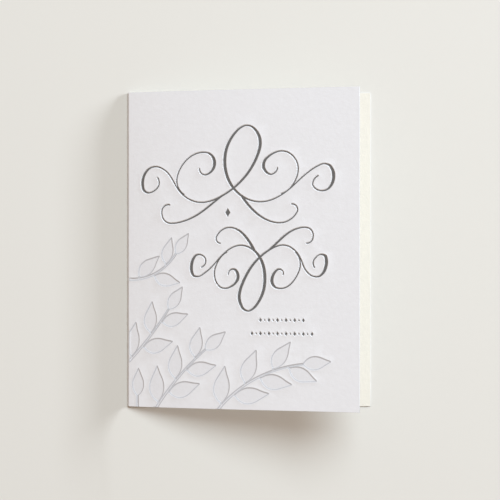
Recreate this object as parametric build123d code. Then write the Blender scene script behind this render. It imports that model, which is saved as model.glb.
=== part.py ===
from build123d import *
import math
import os

# A folded greeting card of thick cotton paper. It lies on its back panel with the fold at the left, and its
# front cover stands open a little. The front carries letterpress ornament: two pen flourishes and two rows of
# beads that take dark ink, and pale leafy sprigs in the lower left corner. Inside and back are blank.
# Frame: +X to the right from the fold, +Y to the card's top, +Z up. The origin is at the middle of the back
# panel, on the surface that the card lies on. Sizes are in millimetres and angles in degrees.

# The sheet
panel_width = 107.95  # from the fold's outside to the free edge, when the card is shut
card_height = 139.7  # along the fold
paper_thickness = 0.55
fold_inner_radius = 0.35  # what the scored fold springs back to
opening_angle = 20.3  # between the panels

# Depth of the letterpress impressions
ink_depth = 0.3
leaf_depth = 0.22

# Pen widths of the flourishes
hairline = 0.65
swell = 1.45  # where the pen is pressed, on the strokes drawn down the page
outline_arc = 5.0  # about the length of each arc that the strokes' outlines are made of

# Upper flourish, by its margins on the front cover
upper_left_margin = 6.5
upper_right_margin = 10.5
upper_top_margin = 15.5
upper_height = 43.0

# Lower flourish, which is the same figure turned over
lower_left_margin = 29.5
lower_right_margin = 15.0
lower_gap = 1.5  # below the upper flourish
lower_height = 37.0

flourish_slant = 0.25  # the figure leans this far to the right for each unit of its height

# Lozenge under the crossing of the upper flourish
lozenge_width = 2.4
lozenge_height = 3.9

# Rows of beads under the flourishes
bead_right_margin = 35.0  # from the free edge to the middle of the rows
bead_row_heights = (39.2, 33.3)  # above the bottom edge
bead_counts = (11, 15)
bead_pitch = 1.95
bead_width = 1.35
bead_height = 1.95
small_bead_share = 0.6  # every other bead is this much of the size of its neighbours

# Leafy sprigs
stem_foot_width = 0.8
stem_tip_width = 0.45
leaf_spacing = 7.0  # between a side leaf and the next, which is on the stem's other side
leaf_stalk = 1.2
leaf_angle = 46.0  # between a side leaf and its stem
leaf_slimness = 0.5  # a leaf's width over its length
leaf_curl = 0.16  # sideways drift of a side leaf's tip over its length
leaf_shrink = 0.25  # how much smaller the leaf at the tip of a stem is
leaf_belly = 0.85  # the power that brings a leaf's widest place towards its foot, where 1 is midway
leaf_tip_draw = 0.2  # the power that draws its tip out, where 0 is as blunt as the foot
leaf_side_arcs = 3
fold_clearance = 0.15  # the plate stops this far short of the bend

# Each sprig's foot from the front's lower left corner, the way it sets off, its length, how far it turns, and
# the length of its first leaf
SPRIGS = (
    ((-3.0, 57.0), -10.0, 30.0, 66.0, 14.0),
    ((-4.0, 16.5), 42.0, 36.0, 14.0, 15.5),
    ((4.4, -4.0), 94.0, 9.0, -6.0, 16.0),
    ((11.0, -4.0), 58.0, 40.0, -18.0, 16.0),
    ((40.0, -4.0), 54.0, 50.0, -48.0, 16.5),
)

# The flourish as it is drawn, upright, before it is stretched to its place: x from its axis of symmetry, y up
# the page. The pen starts each stroke at its first point. The loop starts at its crown, crosses the axis and
# ends in a volute on the other side, and the other strokes spring from it.
DRAWN_HALF_WIDTH = 44.9
DRAWN_TOP = 21.3
DRAWN_BOTTOM = -19.0
LOOP_STROKE = (
    (0, 21),
    (6.2, 16.5),
    (7.4, 8.5),
    (4, 0),
    (-4, -7.4),
    (-15, -10.2),
    (-25.5, -5.2),
    (-33.5, 2.6),
    (-40.6, 4.6),
    (-44.2, -0.6),
    (-41.2, -5.9),
    (-36.2, -4.2),
    (-37.2, 0.2),
)
INNER_VOLUTE = (
    (-22.5, -7),
    (-27.4, -1.6),
    (-26.4, 5.4),
    (-20.4, 10),
    (-14, 9.2),
    (-11.4, 4.2),
    (-15, 1),
    (-18, 3.6),
)
LOW_TAIL = (
    (-4.6, -7.7),
    (-12, -14),
    (-21, -18.3),
    (-29.4, -17.4),
    (-31.4, -12.8),
    (-28.2, -11.2),
)
LOZENGE_DROP = -14.5

# Worked out from the sizes above
fold_outer_radius = fold_inner_radius + paper_thickness
fold_middle_radius = fold_inner_radius + paper_thickness / 2
opening = math.radians(opening_angle)
back_flat = panel_width - fold_outer_radius
front_flat = back_flat + fold_middle_radius * opening  # what the fold gives up as the card opens
fold_centre = Vector(-panel_width / 2 + fold_outer_radius, 0, fold_outer_radius)
along_front = Vector(math.cos(opening), 0, math.sin(opening))
out_of_front = Vector(-math.sin(opening), 0, math.cos(opening))

# On the front cover's outer face: x from the bend to the free edge, y from the bottom edge to the top
front_face = Plane(
    origin=fold_centre + out_of_front * fold_outer_radius - Vector(0, card_height / 2, 0),
    x_dir=along_front,
    z_dir=out_of_front,
)


def folded_sheet():
    """The blank sheet: both panels flat, joined by a bend of constant thickness along the fold."""

    def skin(radius):
        """One side of the sheet's section, at this radius round the bend."""
        back_edge = fold_centre + Vector(back_flat, 0, -radius)
        back_bend = fold_centre + Vector(0, 0, -radius)
        middle_way = math.pi + opening / 2
        middle = fold_centre + Vector(math.cos(middle_way), 0, math.sin(middle_way)) * radius
        front_bend = fold_centre + out_of_front * radius
        front_edge = front_bend + along_front * front_flat
        return back_edge, back_bend, middle, front_bend, front_edge

    outer = skin(fold_outer_radius)
    inner = skin(fold_inner_radius)
    section = Curve() + [
        Line(outer[0], outer[1]),
        ThreePointArc(outer[1], outer[2], outer[3]),
        Line(outer[3], outer[4]),
        Line(outer[4], inner[4]),
        Line(inner[4], inner[3]),
        ThreePointArc(inner[3], inner[2], inner[1]),
        Line(inner[1], inner[0]),
        Line(inner[0], outer[0]),
    ]
    return extrude(make_face(section), amount=card_height / 2, dir=(0, 1, 0), both=True)


def arcs_through(points):
    """A chain of arcs, each through the next two points."""
    return [ThreePointArc(*points[i : i + 3]) for i in range(0, len(points) - 2, 2)]


def ribbon(path, width_along):
    """A face that follows a path with the width given by its direction and place, pointed at both ends."""
    steps = 2 * math.ceil(path.length / outline_arc)
    left = []
    right = []
    for i in range(steps + 1):
        part = i / steps
        here = path @ part
        ahead = path % part
        across = Vector(-ahead.Y, ahead.X) * (width_along(part, ahead) / 2)
        left.append(here + across)
        right.append(here - across)
    first_point = path @ 0 - (path % 0) * (width_along(0, path % 0) / 2)
    last_point = path @ 1 + (path % 1) * (width_along(1, path % 1) / 2)
    ends = [
        Line(right[0], first_point),
        Line(first_point, left[0]),
        Line(left[-1], last_point),
        Line(last_point, right[-1]),
    ]
    return make_face(Curve() + arcs_through(left) + arcs_through(right) + ends)


def pen_width(pulled):
    """A pointed pen draws a hairline, and swells the more it is pulled straight down the figure."""
    return hairline + (swell - hairline) * max(0.0, pulled) ** 2


def lozenge(width, height):
    return make_face(Polyline((-width / 2, 0), (0, height / 2), (width / 2, 0), (0, -height / 2), close=True))


def flourish(left, right, bottom, top, turned_over):
    """The flourish between these limits on the front, at the pen's true widths, and its lozenge's place."""
    drawn_height = DRAWN_TOP - DRAWN_BOTTOM
    stretch_y = (top - bottom) / drawn_height
    stretch_x = (right - left) / (2 * DRAWN_HALF_WIDTH)
    middle_x = (left + right) / 2
    middle_y = (top + bottom) / 2
    drawn_middle = (DRAWN_TOP + DRAWN_BOTTOM) / 2
    upright = -1 if turned_over else 1

    def place(x, y):
        up = upright * (y - drawn_middle) * stretch_y
        return (middle_x + x * stretch_x + flourish_slant * up, middle_y + up)

    def pressed_pen(part, ahead):
        return pen_width(-upright * ahead.Y)

    other_half = tuple((-x, y) for x, y in reversed(LOOP_STROKE[1:]))
    marks = []
    for mirror in (1, -1):
        for points in (other_half + LOOP_STROKE, INNER_VOLUTE, LOW_TAIL):
            path = Spline(*(place(mirror * x, y) for x, y in points))
            if points[0] == other_half[0]:
                path = path.trim(0.5, 1)
            marks.append(ribbon(path, pressed_pen))
    return marks, place(0, LOZENGE_DROP)


def inked_marks():
    """All that takes dark ink: both flourishes, the lozenge and the rows of beads."""
    upper_top = card_height - upper_top_margin
    upper_bottom = upper_top - upper_height
    upper, lozenge_place = flourish(
        upper_left_margin, front_flat - upper_right_margin, upper_bottom, upper_top, False
    )
    lower_top = upper_bottom - lower_gap
    lower, _ = flourish(
        lower_left_margin, front_flat - lower_right_margin, lower_top - lower_height, lower_top, True
    )
    marks = upper + lower
    marks.append(Pos(*lozenge_place) * lozenge(lozenge_width, lozenge_height))
    for row_height, count in zip(bead_row_heights, bead_counts):
        for i in range(count):
            x = front_flat - bead_right_margin + (i - (count - 1) / 2) * bead_pitch
            size = small_bead_share if i % 2 else 1
            marks.append(Pos(x, row_height) * lozenge(size * bead_width, size * bead_height))
    return marks


def leaf(length, curl):
    """A leaf along +X from its foot at the origin, with a fine tip that the curl carries to one side."""

    def side(way):
        points = []
        steps = 2 * leaf_side_arcs
        for i in range(steps + 1):
            part = i / steps
            fullness = math.sin(math.pi * part**leaf_belly) * (1 - part) ** leaf_tip_draw
            half = leaf_slimness * length / 2 * fullness
            points.append((length * part, curl * length * part**2 + way * half))
        return arcs_through(points)

    return make_face(Curve() + side(1) + side(-1))


def sprig(foot, heading, length, turn, leaf_length):
    """A bowed stem with its side leaves by turns to the left and right, and one more leaf at its tip."""
    leaf_count = round(length / leaf_spacing) - 1
    set_off = Vector(1, 0).rotate(Axis.Z, heading)
    radius = length / math.radians(abs(turn))
    stem = JernArc(start=foot, tangent=set_off, radius=radius, arc_size=turn)
    marks = [ribbon(stem, lambda part, ahead: stem_foot_width + (stem_tip_width - stem_foot_width) * part)]
    for i in range(leaf_count):
        part = (i + 1) / (leaf_count + 1)
        way = 1 if i % 2 == 0 else -1
        here = stem @ part
        grown = leaf_length * (1 - leaf_shrink * part)
        pointing = heading + turn * part + way * leaf_angle
        stalk = Rectangle(leaf_stalk + stem_tip_width, stem_tip_width, align=(Align.MIN, Align.CENTER))
        blade = Pos(leaf_stalk, 0) * leaf(grown, -leaf_curl * way)
        marks += [Pos(here) * Rot(0, 0, pointing) * piece for piece in (stalk, blade)]
    marks.append(Pos(stem @ 1) * Rot(0, 0, heading + turn) * leaf(leaf_length * (1 - leaf_shrink), 0))
    return marks


def impression(marks, depth):
    """The space that the marks press into the front. They bleed off its bottom and stop short of the bend."""
    joined = Sketch() + marks
    page = Pos(fold_clearance, -card_height / 2) * Rectangle(
        front_flat, 2 * card_height, align=(Align.MIN, Align.MIN)
    )
    lifted = front_face.offset(depth) * (joined & page)
    return extrude(lifted, amount=-2 * depth)


leaf_marks = [mark for row in SPRIGS for mark in sprig(*row)]
folded_card = folded_sheet() - impression(inked_marks(), ink_depth) - impression(leaf_marks, leaf_depth)

os.makedirs("parts", exist_ok=True)
export_step(folded_card, "parts/folded_card.step")
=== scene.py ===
"""A folded greeting card of letterpress printed cotton paper, on a pale floor, seen from straight above.

The card is made the way the real one is: as a flat sheet with the impressions pressed into its outside,
which is then folded round the bend of the solid. The sheet's sizes and the outlines pressed into it are
read from the solid. Lengths are in millimetres while the sheet is flat, and in metres once it is folded.
"""
import math

import bpy
import numpy as np
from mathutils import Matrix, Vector
from mathutils.bvhtree import BVHTree
from mathutils.geometry import delaunay_2d_cdt
from mathutils.kdtree import KDTree


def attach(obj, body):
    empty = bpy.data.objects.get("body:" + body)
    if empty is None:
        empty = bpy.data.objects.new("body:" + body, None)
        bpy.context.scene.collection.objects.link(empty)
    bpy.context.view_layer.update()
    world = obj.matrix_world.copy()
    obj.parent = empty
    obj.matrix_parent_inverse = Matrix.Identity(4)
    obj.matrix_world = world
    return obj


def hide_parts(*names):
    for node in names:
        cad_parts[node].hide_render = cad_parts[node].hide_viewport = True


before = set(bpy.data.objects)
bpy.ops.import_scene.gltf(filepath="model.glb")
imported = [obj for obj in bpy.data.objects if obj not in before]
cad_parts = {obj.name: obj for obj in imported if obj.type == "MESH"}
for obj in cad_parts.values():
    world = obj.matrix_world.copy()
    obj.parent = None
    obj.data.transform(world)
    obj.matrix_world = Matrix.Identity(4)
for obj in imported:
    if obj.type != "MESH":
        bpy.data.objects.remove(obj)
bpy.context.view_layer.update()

MM = 0.001  # metres

# How the paper gives under the plate. An impression's wall slopes down from the first of these distances
# outside its outline, in mm, to the second of them inside it, where its flat floor begins.
WALLS = {"ink": (0.24, 0.16), "leaf": (0.5, 0.3)}
LIP_HEIGHT = 0.08  # mm that the paper swells up where the wall begins
LIP_WIDTH = 0.5  # mm from there to where the sheet is level again
FADE_AT_BEND = 1.0  # mm from the bend over which the impressions grow to their full depth
REACH = 0.6  # mm from an outline, to either side, within which the print's colours follow it

# The cover springs up from the fold more steeply than it goes on, so it bows out a little
BOW = math.radians(8)  # how much its slope eases off, from the fold to the free edge

# Points of the mesh along the outlines, and in rings round them where the pressed surface bends
OUTLINE_STEP = 0.3  # mm
CORNER_TURN = math.radians(30)  # a sharper turn of an outline is a corner
LIP_RINGS = (1.0, 0.5)  # shares of the lip's width, out from the wall
OUTSIDE_RINGS = (1.0, 0.66, 0.33)  # shares of the wall's width outside the outline
INSIDE_RINGS = (0.5, 1.0)  # shares of its width inside
RING_ERROR = 0.02  # mm by which a point may miss its ring's distance from the nearest outline

# Points of the mesh elsewhere
PLAIN_STEP = 5.0  # mm between points where the sheet is plain
CLEAR_OF_MARKS = 1.1  # mm that those points keep from the marks
BEND_STEPS = 14  # along the bend
NEAR_BEND = np.array((0.3, 0.7, 1.2, 2.0, 3.2))  # mm from either end of the bend to more lines of points
NEAR_BEND_STEP = 1.0  # mm between points on those lines and on the lines in the bend
NEAR_BEND_CLEAR = 0.2  # mm that these points keep from the outlines
EDGE_ROUND = 0.06  # mm, the radius of the sheet's cut edges
EDGE_STEPS = 3  # in each quarter turn of that radius

# How near points of the mesh have to be to count as the same place, in mm
JOIN_OUTSIDE_WITHIN = 1e-3
JOIN_INSIDE_WITHIN = 1e-4
ON_BORDER = 1e-6

# How the solid's faces are told apart and their outlines followed
LEAST_TRIANGLE = 1e-9  # square mm, twice the area
LEAST_UP = 0.5  # part of a face's unit direction that points up
LEAST_LEFT = 0.05  # part of it that points to the left
SAME_WAY = 0.9999  # cosine of the angle between two directions
LEAST_DEPTH = 0.05  # mm below the cover's surface
LEVEL_ERROR = 0.02  # mm
LEVEL_DIGITS = 2  # decimal places of a level's depth in mm
CORNER_DIGITS = 4  # decimal places of a corner's place in mm


# The solid, read from the frame

def triangles_of(node):
    """The corners of each triangle of a node in mm, the way that it faces, and twice its area."""
    mesh = node.data
    mesh.calc_loop_triangles()
    points = np.array([v.co[:] for v in mesh.vertices]) / MM
    corners = points[np.array([t.vertices[:] for t in mesh.loop_triangles])]
    across = np.cross(corners[:, 1] - corners[:, 0], corners[:, 2] - corners[:, 0])
    size = np.linalg.norm(across, axis=1)
    real = size > LEAST_TRIANGLE
    return corners[real], across[real] / size[real, None], size[real]


class Card:
    """Sizes of the folded sheet and the outlines pressed into its front, in mm, measured on the solid."""

    def __init__(self, node):
        corners, facing, size = triangles_of(node)

        # The cover's outside faces up and to the left, and its largest triangle tells how much
        up_left = (facing[:, 2] > LEAST_UP) & (facing[:, 0] < -LEAST_LEFT)
        widest = facing[up_left][np.argmax(size[up_left])]
        self.out = widest / np.linalg.norm(widest)
        self.along = np.array([self.out[2], 0.0, -self.out[0]])
        flat = facing @ self.out > SAME_WAY
        inside = facing @ self.out < -SAME_WAY
        surface = (corners[flat] @ self.out).max()
        self.thickness = surface - (corners[inside] @ self.out).mean()

        # The bend's outside touches the floor, the left face of the box and the cover's outside
        left = corners[:, :, 0].min()
        self.bend_radius = (surface - self.out[0] * left) / (self.out[0] + self.out[2] + 1)
        self.bend_centre = np.array([left + self.bend_radius, 0.0, self.bend_radius])
        self.half_height = -corners[:, :, 1].min()
        start = self.bend_centre + self.out * self.bend_radius
        self.front_length = ((corners[flat] - start) @ self.along).max()
        self.back_length = corners[:, :, 0].max() - self.bend_centre[0]

        # The bow makes the cover steeper where it leaves the bend, so the bend turns less
        opening = math.atan2(-self.out[0], self.out[2])
        steepest = opening + self.bow(0)[1]
        self.bend_turn = math.pi - steepest
        self.bend_length = (self.bend_radius - self.thickness / 2) * self.bend_turn
        self.bend_end = math.pi / 2 + steepest
        self.chord_start = self.round_bend(self.bend_end, 0)
        self.chord = start + self.along * self.front_length - self.chord_start
        self.chord_out = np.array([-self.chord[2], 0.0, self.chord[0]]) / np.linalg.norm(self.chord)

        # Each level below the cover's surface is one kind of impression, and the ink's is the deepest
        local = corners[flat] - start
        on_page = np.stack([local @ self.along, local[:, :, 1]], axis=2)
        depth = -(local @ self.out).mean(axis=1)
        levels = sorted({round(float(d), LEVEL_DIGITS) for d in depth if d > LEAST_DEPTH})
        self.leaf_depth, self.ink_depth = levels[0], levels[-1]
        self.leaf_floor = on_page[np.abs(depth - self.leaf_depth) < LEVEL_ERROR]
        self.ink_floor = on_page[np.abs(depth - self.ink_depth) < LEVEL_ERROR]

    def bow(self, u):
        """How far the cover bows out from its chord, this far from the bend, and how much steeper it is."""
        ahead = 1 - u / self.front_length
        rise = BOW * self.front_length * (ahead - ahead**4) / 4
        return rise, BOW * (ahead**3 - 1 / 4)

    def round_bend(self, angle, below):
        """A place in the bend, this angle round it and this far below its outside."""
        radius = self.bend_radius - below
        return self.bend_centre + radius * np.array([math.cos(angle), 0.0, math.sin(angle)])

    def fold(self, u, v, below):
        """The place in metres of a point that lies this far below the outside of the flat sheet.

        It lies u from the cover's end of the bend and v up the page. On the cover u is positive, and in the
        bend and on the back panel it is negative.
        """
        if u >= 0:
            rise, steeper = self.bow(u)
            angle = math.atan2(self.chord_out[2], self.chord_out[0]) + steeper
            outward = np.array([math.cos(angle), 0.0, math.sin(angle)])
            on_chord = self.chord_start + self.chord * (u / self.front_length)
            place = on_chord + self.chord_out * rise - outward * below
        elif u >= -self.bend_length:
            place = self.round_bend(self.bend_end + self.bend_turn * -u / self.bend_length, below)
        else:
            place = self.bend_centre + np.array([-u - self.bend_length, 0.0, below - self.bend_radius])
        return (place[0] * MM, v * MM, place[2] * MM)


def corner_key(point):
    """A point's place rounded, so that neighbouring triangles agree on the corners that they share."""
    return (round(float(point[0]), CORNER_DIGITS), round(float(point[1]), CORNER_DIGITS))


def loops_of(triangles):
    """The closed outlines of flat triangles, as arrays of points with the triangles on their left."""
    sides = set()
    for triangle in triangles:
        a, b, c = (corner_key(corner) for corner in triangle)
        sides.update(((a, b), (b, c), (c, a)))
    after = {}
    for a, b in sides:
        if a != b and (b, a) not in sides:
            after.setdefault(a, []).append(b)
    loops = []
    while after:
        start = min(after)
        loop = [start]
        while True:
            here = loop[-1]
            following = after[here].pop()
            if not after[here]:
                del after[here]
            if following == start:
                break
            loop.append(following)
        loops.append(np.array(loop))
    return loops


def way_at(corner_here, corner_there, chord, way_here, way_there):
    """The curve's direction at one end of a stretch. A corner leaves it to the chord and the other end."""
    if not corner_here:
        return way_here
    return chord if corner_there else 2 * chord - way_there


def smooth_outline(loop):
    """Points at even steps on a smooth curve through a loop's points, with its corners kept sharp."""
    count = len(loop)
    steps = np.roll(loop, -1, axis=0) - loop
    lengths = np.linalg.norm(steps, axis=1)
    chords = steps / lengths[:, None]
    corner = []
    ways = []
    for i in range(count):
        turn = math.acos(max(-1.0, min(1.0, float(chords[i - 1] @ chords[i]))))
        corner.append(turn > CORNER_TURN)
        before, after = lengths[i - 1], lengths[i]
        ways.append((chords[i - 1] * after + chords[i] * before) / (before + after))
    points = []
    for i in range(count):
        j = (i + 1) % count
        leaving = way_at(corner[i], corner[j], chords[i], ways[i], ways[j])
        arriving = way_at(corner[j], corner[i], chords[i], ways[j], ways[i])
        pieces = max(1, round(lengths[i] / OUTLINE_STEP))
        for k in range(pieces):
            # The cubic curve that has these directions at its ends
            t = k / pieces
            points.append(
                (2 * t**3 - 3 * t**2 + 1) * loop[i]
                + (t**3 - 2 * t**2 + t) * lengths[i] * leaving
                + (3 * t**2 - 2 * t**3) * loop[j]
                + (t**3 - t**2) * lengths[i] * arriving
            )
    return np.array(points)


class Impression:
    """One kind of mark pressed into the sheet: where it is, and how far a point lies from its outlines."""

    def __init__(self, kind, floor, depth):
        self.kind = kind
        self.depth = depth
        self.wall_outside, self.wall_inside = WALLS[kind]
        self.outlines = [smooth_outline(loop) for loop in loops_of(floor)]
        corners = [Vector((p[0], p[1], 0)) for triangle in floor for p in triangle]
        self.floor = BVHTree.FromPolygons(corners, [(i, i + 1, i + 2) for i in range(0, len(corners), 3)])
        self.points = np.concatenate(self.outlines)
        self.neighbours = []
        first = 0
        for outline in self.outlines:
            count = len(outline)
            self.neighbours += [(first + (i - 1) % count, first + (i + 1) % count) for i in range(count)]
            first += count
        self.tree = KDTree(len(self.points))
        for i, p in enumerate(self.points):
            self.tree.insert((p[0], p[1], 0), i)
        self.tree.balance()

    def outside(self, x, y):
        """How far a point lies outside the outlines, negative inside them."""
        _, i, apart = self.tree.find((x, y, 0))
        here = self.points[i]
        for j in self.neighbours[i]:
            side = self.points[j] - here
            part = ((x - here[0]) * side[0] + (y - here[1]) * side[1]) / (side @ side)
            part = min(1.0, max(0.0, part))
            near = here + side * part
            apart = min(apart, math.hypot(x - near[0], y - near[1]))
        inside = self.floor.ray_cast(Vector((x, y, 1)), Vector((0, 0, -1)))[0] is not None
        return -apart if inside else apart

    def rings(self):
        """Points beside the outlines, where the pressed surface bends and where the colours settle."""
        distances = [self.wall_outside + LIP_WIDTH * share for share in LIP_RINGS]
        distances += [self.wall_outside * share for share in OUTSIDE_RINGS]
        distances += [-self.wall_inside * share for share in INSIDE_RINGS] + [-REACH]
        found = []
        for outline in self.outlines:
            ahead = np.roll(outline, -1, axis=0) - np.roll(outline, 1, axis=0)
            ahead /= np.linalg.norm(ahead, axis=1)[:, None]
            for p, way in zip(outline, ahead):
                for distance in distances:
                    x, y = p[0] + way[1] * distance, p[1] - way[0] * distance
                    if abs(self.outside(x, y) - distance) < RING_ERROR:
                        found.append((x, y))
        return found

    def pressed(self, x, y):
        """How deep the surface lies below the sheet's face, negative on the lip."""
        outside = self.outside(x, y)
        on_wall = eased((outside + self.wall_inside) / (self.wall_inside + self.wall_outside))
        on_lip = eased((outside - self.wall_outside) / LIP_WIDTH)
        return self.depth - (self.depth + LIP_HEIGHT) * on_wall + LIP_HEIGHT * on_lip


def eased(part):
    """Rises smoothly from 0 to 1 as the part does, and stays there beyond."""
    part = min(1.0, max(0.0, part))
    return part * part * (3 - 2 * part)


def ticks(low, high, step):
    """Even steps from low to high, both included."""
    return np.linspace(low, high, max(2, round((high - low) / step) + 1))


# The sheet

OUTSIDE, INSIDE, CUT_EDGE = range(3)  # material slots
DISTANCE_NAME = "mm_outside_"  # of the mesh's attributes, before the kind of impression
TRIANGLES_INSIDE = 1  # asks delaunay_2d_cdt for the triangles inside the outlines alone


def lines_across(card, left, right):
    """Where the sheet has lines of points up the page, close together in the bend and beside it."""
    return np.concatenate([
        ticks(left, -card.bend_length - PLAIN_STEP, PLAIN_STEP),
        -card.bend_length - NEAR_BEND[::-1],
        ticks(-card.bend_length, 0, card.bend_length / BEND_STEPS),
        NEAR_BEND,
        ticks(PLAIN_STEP, right, PLAIN_STEP),
    ])


def plain_points(card, impressions, across, up, close_up):
    """Points of the flat sheet between its border and the impressions, closer together near the bend."""
    points = []
    for x in across[1:-1]:
        near = -card.bend_length - NEAR_BEND[-1] <= x <= NEAR_BEND[-1]
        for y in (close_up if near else up)[1:-1]:
            outside = [impression.outside(x, y) for impression in impressions]
            if near:
                clear = min(np.abs(outside)) > NEAR_BEND_CLEAR
            else:
                clear = min(outside) > CLEAR_OF_MARKS
            if clear:
                points.append((x, y))
    return points


def flat_outside(card, impressions):
    """Points and triangles of the sheet's outer surface while it is flat, inside its rounded edges."""
    left = -card.bend_length - card.back_length + EDGE_ROUND
    right = card.front_length - EDGE_ROUND
    top = card.half_height - EDGE_ROUND
    across = lines_across(card, left, right)
    up = ticks(-top, top, PLAIN_STEP)
    points = [(x, -top) for x in across] + [(right, y) for y in up[1:]]
    points += [(x, top) for x in across[-2::-1]] + [(left, y) for y in up[-2:0:-1]]
    outlines = [list(range(len(points)))]
    for impression in impressions:
        for outline in impression.outlines:
            outlines.append([len(points) + i for i in range(len(outline))])
            points += [tuple(p) for p in outline]
        points += impression.rings()
    points += plain_points(card, impressions, across, up, ticks(-top, top, NEAR_BEND_STEP))
    joined, _, triangles, _, _, _ = delaunay_2d_cdt(
        [Vector(p) for p in points], [], outlines, TRIANGLES_INSIDE, JOIN_OUTSIDE_WITHIN
    )

    # An impression that bleeds off the page has triangles beyond the border, which go, with their points
    joined = np.array([p[:] for p in joined])
    middles = joined[np.array([tuple(t) for t in triangles])].mean(axis=1)
    on_sheet = (middles[:, 0] > left) & (middles[:, 0] < right) & (np.abs(middles[:, 1]) < top)
    triangles = [tuple(t) for t, keep in zip(triangles, on_sheet) if keep]
    used = sorted({i for t in triangles for i in t})
    number = {old: new for new, old in enumerate(used)}
    return joined[used], [tuple(number[i] for i in t) for t in triangles]


def rim_of(triangles):
    """The one closed outline of a mesh, as the numbers of its points in order."""
    sides = {(t[i], t[(i + 1) % 3]) for t in triangles for i in range(3)}
    after = {a: b for a, b in sides if (b, a) not in sides}
    rim = [min(after)]
    while after[rim[-1]] != rim[0]:
        rim.append(after[rim[-1]])
    return rim


def depth_at(x, y, impressions):
    """How deep a point of the sheet's outside is pressed. There are impressions on the cover alone."""
    if x <= 0:
        return 0.0
    return eased(x / FADE_AT_BEND) * sum(impression.pressed(x, y) for impression in impressions)


def add_cut_edge(card, border, rim, places, faces):
    """Adds the cut edge in rows: rounded over, straight down and rounded in again. Gives the last row."""
    left, right, top = border
    turns = [(math.pi / 2 * k / EDGE_STEPS, False) for k in range(1, EDGE_STEPS + 1)]
    turns += [(math.pi / 2 * (1 - k / EDGE_STEPS), True) for k in range(EDGE_STEPS + 1)]
    last = rim
    for angle, underneath in turns:
        reach = EDGE_ROUND * math.sin(angle)
        drop = EDGE_ROUND * (1 - math.cos(angle))
        row = []
        for i in rim:
            x, y, depth = places[i]
            out_x = int(x > right - ON_BORDER) - int(x < left + ON_BORDER)
            out_y = int(y > top - ON_BORDER) - int(y < -top + ON_BORDER)
            below = card.thickness - drop if underneath else depth + drop
            row.append(len(places))
            places.append((x + out_x * reach, y + out_y * reach, below))
        for k in range(len(rim)):
            following = (k + 1) % len(rim)
            faces.append((last[following], last[k], row[k], row[following]))
        last = row
    return last


def add_inside(card, border, last, places, faces):
    """Adds the plain inside, which shares the last row of the cut edge."""
    left, right, top = border
    across = lines_across(card, left, right)
    up = ticks(-top, top, PLAIN_STEP)
    points = [Vector(places[i][:2]) for i in last]
    points += [Vector((x, y)) for x in across[1:-1] for y in up[1:-1]]
    outline = list(range(len(last)))
    joined, _, triangles, sources, _, _ = delaunay_2d_cdt(
        points, [], [outline], TRIANGLES_INSIDE, JOIN_INSIDE_WITHIN
    )
    numbers = []
    for place, source in zip(joined, sources):
        if source and source[0] < len(last):
            numbers.append(last[source[0]])
        else:
            numbers.append(len(places))
            places.append((place[0], place[1], card.thickness))
    faces.extend(tuple(numbers[i] for i in reversed(t)) for t in triangles)


def sharpen(mesh, loops):
    """Marks closed loops of edges sharp, so that the sheet's faces and its cut edge are shaded apart."""
    sharp = {frozenset((loop[k - 1], loop[k])) for loop in loops for k in range(len(loop))}
    for edge in mesh.edges:
        edge.use_edge_sharp = frozenset(edge.vertices) in sharp


def keep_distances(mesh, impression, flat):
    """Keeps on the mesh how far its points lie outside an impression's outlines, for print and painted
    shade.
    """
    distances = [REACH] * len(mesh.vertices)
    for i, (x, y) in enumerate(flat):
        if x > 0:
            distances[i] = max(-REACH, min(REACH, float(impression.outside(x, y))))
    attribute = mesh.attributes.new(DISTANCE_NAME + impression.kind, "FLOAT", "POINT")
    attribute.data.foreach_set("value", distances)


def card_sheet(card):
    """The folded sheet as one closed mesh: the pressed outside, the cut edges and the plain inside."""
    impressions = (
        Impression("ink", card.ink_floor, card.ink_depth),
        Impression("leaf", card.leaf_floor, card.leaf_depth),
    )
    flat, faces = flat_outside(card, impressions)
    border = (flat[:, 0].min(), flat[:, 0].max(), flat[:, 1].max())
    places = [(x, y, depth_at(x, y, impressions)) for x, y in flat]
    slots = [OUTSIDE] * len(faces)
    rim = rim_of(faces)
    last = add_cut_edge(card, border, rim, places, faces)
    slots += [CUT_EDGE] * (len(faces) - len(slots))
    add_inside(card, border, last, places, faces)
    slots += [INSIDE] * (len(faces) - len(slots))

    mesh = bpy.data.meshes.new("card_sheet")
    mesh.from_pydata([card.fold(*place) for place in places], [], faces)
    for material in (outside_paper(), inside_paper(), cut_edge()):
        mesh.materials.append(material)
    mesh.polygons.foreach_set("material_index", slots)
    mesh.polygons.foreach_set("use_smooth", [True] * len(faces))
    sharpen(mesh, (rim, last))
    for impression in impressions:
        keep_distances(mesh, impression, flat)
    mesh.update()
    sheet = bpy.data.objects.new("card_sheet", mesh)
    bpy.context.collection.objects.link(sheet)
    return sheet


# Materials, with colours as linear red, green and blue

OUTSIDE_WHITE = (0.872, 0.873, 0.903)
INSIDE_CREAM = (0.685, 0.648, 0.572)
# Painted shade: the cut edge is the same paper as the faces, made grey so that the low lamp doesn't make it
# glare
CUT_EDGE_SHADED_GREY = (0.55, 0.555, 0.56)
FLOOR_PAINT = (0.615, 0.59, 0.543)
INK_DARK = (0.147, 0.144, 0.142)
INK_LIGHT = (0.168, 0.164, 0.162)
LEAF_TINT = (0.96, 0.96, 0.965)  # multiplies the paper's own colour, as the rim's and white do
# The rim is partly a tint gathered at the leaves' outlines and partly painted shade that darkens their
# walls
LEAF_RIM_TINT_AND_SHADE = (0.695, 0.706, 0.722)
WHITE = (1.0, 1.0, 1.0)
BLACK = (0.0, 0.0, 0.0)

# The print's colours at distances in mm outside the outlines, with the painted shade on the leaves' walls
LEAF_PRINT_AND_SHADE = ((-0.28, LEAF_TINT), (-0.05, LEAF_RIM_TINT_AND_SHADE), (0.25, LEAF_RIM_TINT_AND_SHADE), (0.45, WHITE))
BARE_OF_INK = ((-0.14, BLACK), (0.0, WHITE))  # white where the paper shows

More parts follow.
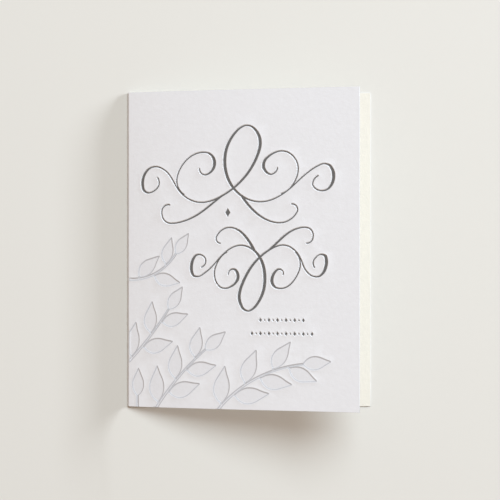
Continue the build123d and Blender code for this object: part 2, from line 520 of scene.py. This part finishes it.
# Noises in the paper and its ink: waves to a metre, detail and roughness
MOTTLE = (420, 3, 0.5)
INK_COVER = (900, 3, 0.5)
FELT_MARK = (650, 2, 0.6)
FIBRES = (2600, 4, 0.7)
MOTTLE_SPAN = (0.32, 0.68)  # a noise's values between which the colour changes
INK_COVER_SPAN = (0.35, 0.65)
FELT_HEIGHT = 0.0003  # metres
FIBRE_HEIGHT = 0.00008
PAPER_SPECULAR = 0.25

# The places of a Mix node's colour sockets, which share their names with its other sockets
MIX_SHARE, MIX_UNDER, MIX_OVER, MIX_RESULT = 0, 6, 7, 2


class Paper:
    """Cotton paper: fine tooth and a soft felt mark in the surface, and a faint mottle in the colour."""

    def __init__(self, name, colour, rough=0.9, tooth=0.2, mottle=0.009):
        self.material = bpy.data.materials.new(name)
        self.material.use_nodes = True
        self.nodes = self.material.node_tree.nodes
        self.links = self.material.node_tree.links
        self.shader = self.nodes["Principled BSDF"]
        self.shader.inputs["Roughness"].default_value = rough
        self.shader.inputs["Specular IOR Level"].default_value = PAPER_SPECULAR
        self.place = self.nodes.new("ShaderNodeTexCoord")
        dark = [c * (1 - mottle) for c in colour]
        light = [min(1.0, c * (1 + mottle)) for c in colour]
        self.colour = self.clouded(MOTTLE, MOTTLE_SPAN, dark, light)
        self.links.new(self.colour, self.shader.inputs["Base Color"])
        felt = self.bump(FELT_MARK, tooth, FELT_HEIGHT)
        fibres = self.bump(FIBRES, tooth, FIBRE_HEIGHT)
        self.links.new(felt.outputs["Normal"], fibres.inputs["Normal"])
        self.links.new(fibres.outputs["Normal"], self.shader.inputs["Normal"])

    def noise(self, scale, detail, roughness):
        node = self.nodes.new("ShaderNodeTexNoise")
        node.inputs["Scale"].default_value = scale
        node.inputs["Detail"].default_value = detail
        node.inputs["Roughness"].default_value = roughness
        self.links.new(self.place.outputs["Object"], node.inputs["Vector"])
        return node.outputs["Fac"]

    def ramp(self, value, stops):
        """A colour for each value, smooth between the stops."""
        node = self.nodes.new("ShaderNodeValToRGB")
        node.color_ramp.interpolation = "EASE"
        elements = node.color_ramp.elements
        while len(elements) < len(stops):
            elements.new(0.5)  # and its real position follows
        for element, (position, colour) in zip(elements, stops):
            element.position = position
            element.color = (*colour, 1)
        self.links.new(value, node.inputs["Fac"])
        return node.outputs["Color"]

    def clouded(self, noise, span, dark, light):
        """A colour that wanders between a dark and a light one as a noise does."""
        return self.ramp(self.noise(*noise), tuple(zip(span, (dark, light))))

    def bump(self, noise, strength, height):
        node = self.nodes.new("ShaderNodeBump")
        node.inputs["Strength"].default_value = strength
        node.inputs["Distance"].default_value = height
        self.links.new(self.noise(*noise), node.inputs["Height"])
        return node

    def by_distance(self, kind, stops):
        """A colour for each distance in mm outside the outlines of a kind of impression."""
        read = self.nodes.new("ShaderNodeAttribute")
        read.attribute_name = DISTANCE_NAME + kind
        spread = self.nodes.new("ShaderNodeMapRange")
        spread.inputs["From Min"].default_value = -REACH
        spread.inputs["From Max"].default_value = REACH
        self.links.new(read.outputs["Fac"], spread.inputs["Value"])
        on_ramp = [((distance / REACH + 1) / 2, colour) for distance, colour in stops]
        return self.ramp(spread.outputs["Result"], on_ramp)

    def mix(self, blend, share, under, over):
        """Two colours blended, where the share of the upper one is a number or another node's value."""
        node = self.nodes.new("ShaderNodeMix")
        node.data_type = "RGBA"
        node.blend_type = blend
        if isinstance(share, float):
            node.inputs[MIX_SHARE].default_value = share
        else:
            self.links.new(share, node.inputs[MIX_SHARE])
        self.links.new(under, node.inputs[MIX_UNDER])
        self.links.new(over, node.inputs[MIX_OVER])
        return node.outputs[MIX_RESULT]


def outside_paper():
    """White paper with its print: dark grey ink, and a pale tint and painted shade at the leaves' outlines.
    """
    sheet = Paper("outside_paper", OUTSIDE_WHITE)
    # The leaves' tint multiplies the paper, with painted shade in its darker rim on the impressions' walls
    tinted_and_shaded = sheet.mix("MULTIPLY", 1.0, sheet.colour, sheet.by_distance("leaf", LEAF_PRINT_AND_SHADE))
    ink = sheet.clouded(INK_COVER, INK_COVER_SPAN, INK_DARK, INK_LIGHT)
    printed = sheet.mix("MIX", sheet.by_distance("ink", BARE_OF_INK), ink, tinted_and_shaded)
    sheet.links.new(printed, sheet.shader.inputs["Base Color"])
    return sheet.material


def inside_paper():
    return Paper("inside_paper", INSIDE_CREAM).material


# The cut edge's paper, whose grey is painted shade
def cut_edge():
    return Paper("cut_edge", CUT_EDGE_SHADED_GREY, tooth=0.4).material


def floor_material():
    """A smooth painted table, with a hardly visible grain."""
    return Paper("floor_paint", FLOOR_PAINT, rough=0.8, tooth=0.01, mottle=0.0015).material


# Surroundings, in metres

FLOOR_REACH = 3.0  # each way from the card
LAMP_DISTANCE = 3.3
CAMERA_HEIGHT = 0.975  # gives the photograph's perspective
CAMERA_PLACE = (0.0003, -0.0002)  # over the floor
FLOOR_IN_PICTURE = 0.223  # from side to side
SENSOR_WIDTH = 36.0  # mm


def floor():
    mesh = bpy.data.meshes.new("floor")
    corners = [(x * FLOOR_REACH, y * FLOOR_REACH, 0) for x, y in ((-1, -1), (1, -1), (1, 1), (-1, 1))]
    mesh.from_pydata(corners, [], [(0, 1, 2, 3)])
    mesh.materials.append(floor_material())
    plane = bpy.data.objects.new("floor", mesh)
    bpy.context.collection.objects.link(plane)


def lamp(name, azimuth, elevation, wide, high, watts, colour):
    """A soft oval lamp that looks at the card from this azimuth and elevation, in degrees."""
    light = bpy.data.lights.new(name, "AREA")
    light.shape = "ELLIPSE"
    light.size = wide
    light.size_y = high
    light.energy = watts
    light.color = colour
    thing = bpy.data.objects.new(name, light)
    across, up = math.radians(azimuth), math.radians(elevation)
    way = Vector((math.cos(up) * math.cos(across), math.cos(up) * math.sin(across), math.sin(up)))
    thing.location = way * LAMP_DISTANCE
    thing.rotation_euler = way.to_track_quat("Z", "Y").to_euler()
    bpy.context.collection.objects.link(thing)


def sky(strength, colour):
    world = bpy.data.worlds.new("sky")
    world.use_nodes = True
    background = world.node_tree.nodes["Background"]
    background.inputs["Color"].default_value = (*colour, 1)
    background.inputs["Strength"].default_value = strength
    bpy.context.scene.world = world


def camera():
    """Straight above the card."""
    lens = bpy.data.cameras.new("camera")
    lens.sensor_width = SENSOR_WIDTH
    lens.lens = lens.sensor_width * CAMERA_HEIGHT / FLOOR_IN_PICTURE
    thing = bpy.data.objects.new("camera", lens)
    thing.location = (*CAMERA_PLACE, CAMERA_HEIGHT)
    bpy.context.collection.objects.link(thing)
    bpy.context.scene.camera = thing


card = Card(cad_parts["folded_card"])
sheet = card_sheet(card)
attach(sheet, "root")
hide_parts("folded_card")

floor()
lamp("key", azimuth=62, elevation=57, wide=2.1, high=2.1, watts=106, colour=(0.883, 1.034, 1.15))
lamp("low_side", azimuth=18, elevation=17.4, wide=1.3, high=0.16, watts=109, colour=(0.91, 0.99, 1.1))
sky(strength=0.25, colour=(1.37, 0.9, 0.53))
camera()
bpy.context.scene.view_settings.view_transform = "Standard"
